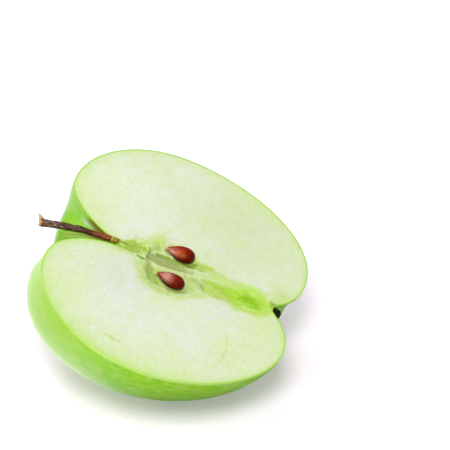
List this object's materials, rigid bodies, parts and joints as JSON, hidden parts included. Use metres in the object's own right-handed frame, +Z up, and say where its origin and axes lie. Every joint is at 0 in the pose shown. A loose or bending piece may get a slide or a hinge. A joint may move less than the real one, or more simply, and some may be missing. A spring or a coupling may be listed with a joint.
{
  "type": "apple half",
  "caption": "Half of a green apple cut from stem to calyx: pale flat face with an open core, seeds and a woody stem over a round skinned back.",
  "frame": {"origin": "middle of the small flat spot under the round back, where the half rests", "axes": "+Z up; +X from the raised stem end towards the lower calyx end; +Y towards the upper edge of the cut face, which leans a little towards -Y"},
  "size_m": [0.0722, 0.0756, 0.0508],
  "materials": {
    "fruit": "fruit flesh with a glossy green skin: moist, pale green-white cut face, bright yellow-green skin with pale specks",
    "stem": "dry brown bark with fine ridges, pale where it is broken",
    "seed": "smooth glossy red-brown seed coat, orange towards the point",
    "calyx": "dry, matt black-brown sepals"
  },
  "bodies": {
    "root": {"apple_half": "fruit", "stem": "stem", "seed_upper": "seed", "seed_lower": "seed", "calyx": "calyx"}
  },
  "joints": []
}
